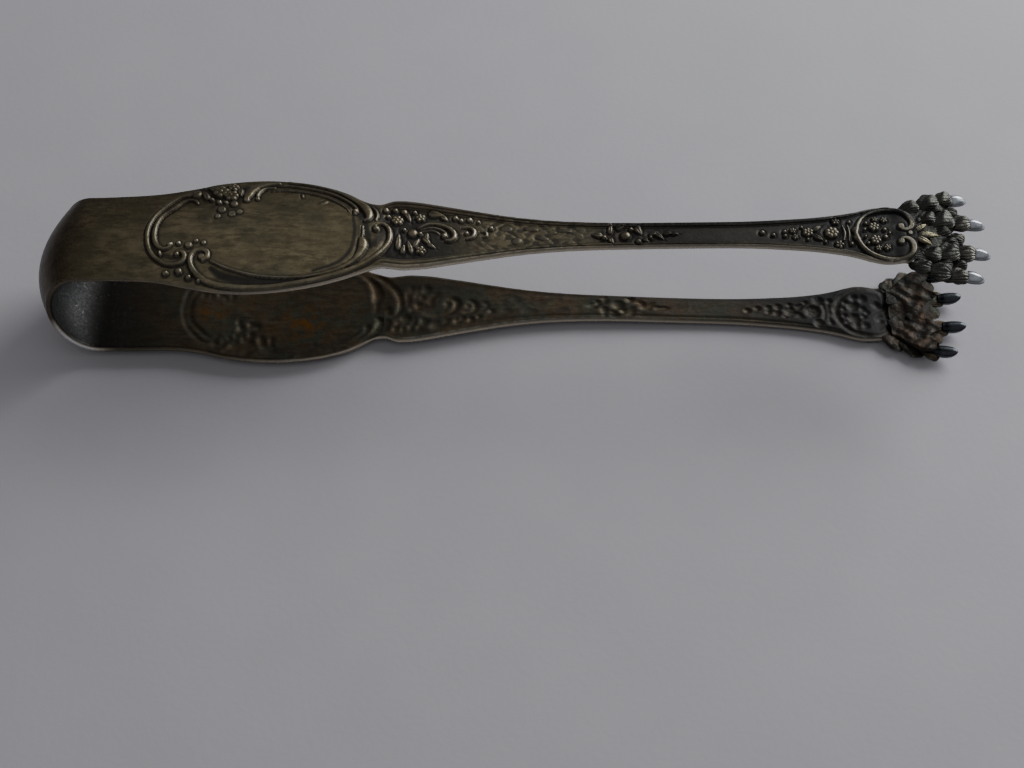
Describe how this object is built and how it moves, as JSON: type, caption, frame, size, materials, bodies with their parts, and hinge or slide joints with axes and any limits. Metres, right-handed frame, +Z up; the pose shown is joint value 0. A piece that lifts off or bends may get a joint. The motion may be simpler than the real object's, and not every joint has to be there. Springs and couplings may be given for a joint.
{
  "type": "ice tongs",
  "caption": "Spring bow ice tongs with relief-struck arms, an oval plate on each side, a heart at the stem's end and splayed animal claw feet that grip.",
  "frame": {"origin": "centre of the bounding box at its bottom, on the table that the lower arm lies on", "axes": "+X from the bow to the talons, +Y across the strip, +Z up, the way the arms spring apart"},
  "size_m": [0.15, 0.023, 0.0218],
  "materials": {
    "struck_silver": "tarnished silver plate over nickel silver, satin, dark in the hollows",
    "claw_silver": "tarnished silver plate over nickel silver, finely textured fur",
    "talon_silver": "polished"
  },
  "bodies": {
    "bow": {"spring_bow": "struck_silver"},
    "upper_side": {"upper_arm": "struck_silver", "upper_claw_foot": "claw_silver", "upper_talon_1": "talon_silver", "upper_talon_2": "talon_silver", "upper_talon_3": "talon_silver", "upper_talon_4": "talon_silver"},
    "lower_side": {"lower_arm": "struck_silver", "lower_claw_foot": "claw_silver", "lower_talon_1": "talon_silver", "lower_talon_2": "talon_silver", "lower_talon_3": "talon_silver", "lower_talon_4": "talon_silver"}
  },
  "joints": [
    {"name": "upper_squeeze", "type": "hinge", "parent": "bow", "child": "upper_side", "pos_m": [-0.066, 0, 0.0205], "axis": [0, 1, 0], "range_deg": [0, 3.3], "stiffness_Nm_per_rad": 3.6},
    {"name": "lower_squeeze", "type": "hinge", "parent": "bow", "child": "lower_side", "pos_m": [-0.066, 0, 0.0013], "axis": [0, 1, 0], "range_deg": [-3.3, 0], "stiffness_Nm_per_rad": 3.6}
  ],
  "couplings": [
    {"joint": "lower_squeeze", "follows": "upper_squeeze", "ratio": -1}
  ]
}
